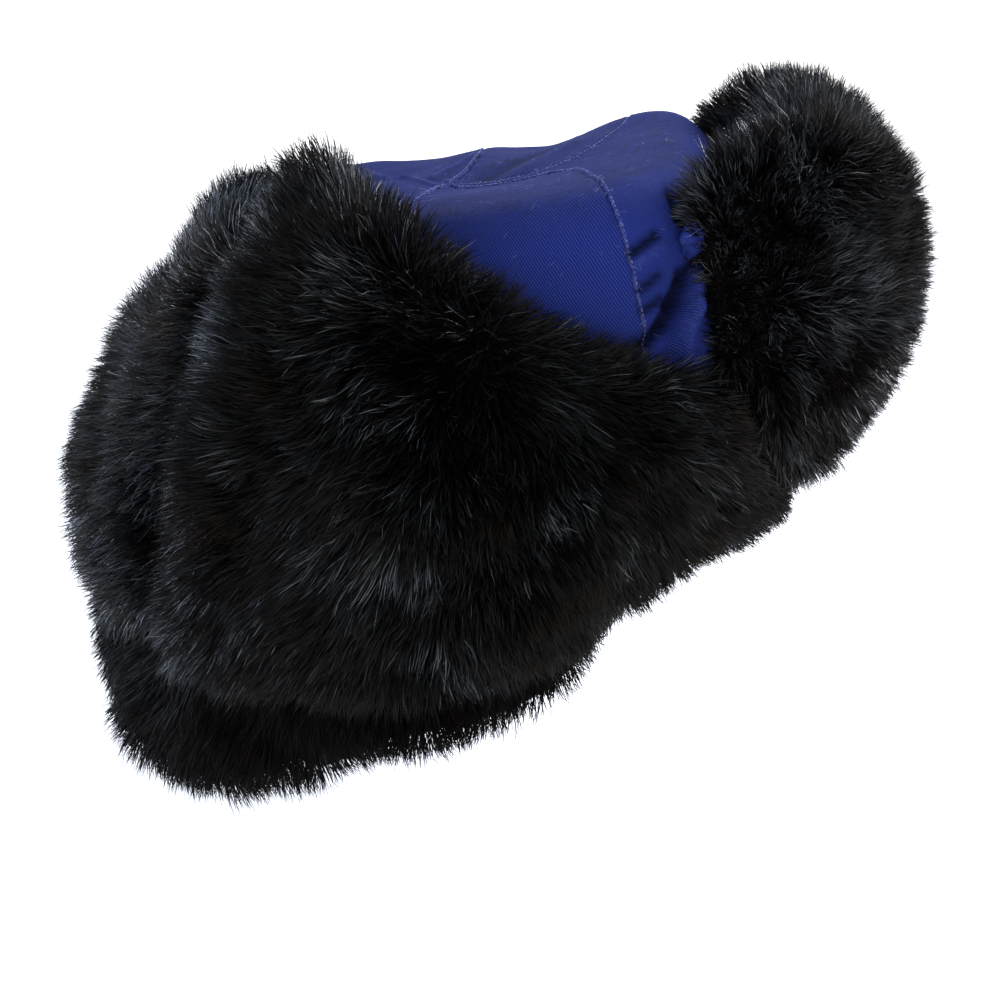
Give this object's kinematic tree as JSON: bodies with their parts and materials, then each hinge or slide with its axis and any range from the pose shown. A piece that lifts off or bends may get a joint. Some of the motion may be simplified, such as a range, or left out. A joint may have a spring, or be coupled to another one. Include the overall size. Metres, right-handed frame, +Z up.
{
  "type": "fur ushanka hat",
  "caption": "Ushanka with a sunken twill crown and deep dark fur turned up all round: visor, ear flaps, neck flap and a roll of fur hanging below the fold.",
  "frame": {"origin": "centre of the head opening at the height of the brow", "axes": "+X towards the forehead and visor, -Y towards the wearer's right ear, +Z up"},
  "size_m": [0.3291, 0.2837, 0.2744],
  "materials": {
    "navy_twill": "matte diagonal weave, slightly worn at the seams",
    "black_fur": "deep soft pile with a cool sheen"
  },
  "bodies": {
    "root": {"crown_front_gore": "navy_twill", "crown_right_gore": "navy_twill", "crown_rear_gore": "navy_twill", "crown_left_gore": "navy_twill", "ear_flap_right": "black_fur", "ear_flap_left": "black_fur", "neck_flap": "black_fur", "nape_roll": "black_fur", "visor": "black_fur", "visor_tack": "navy_twill"}
  },
  "joints": []
}
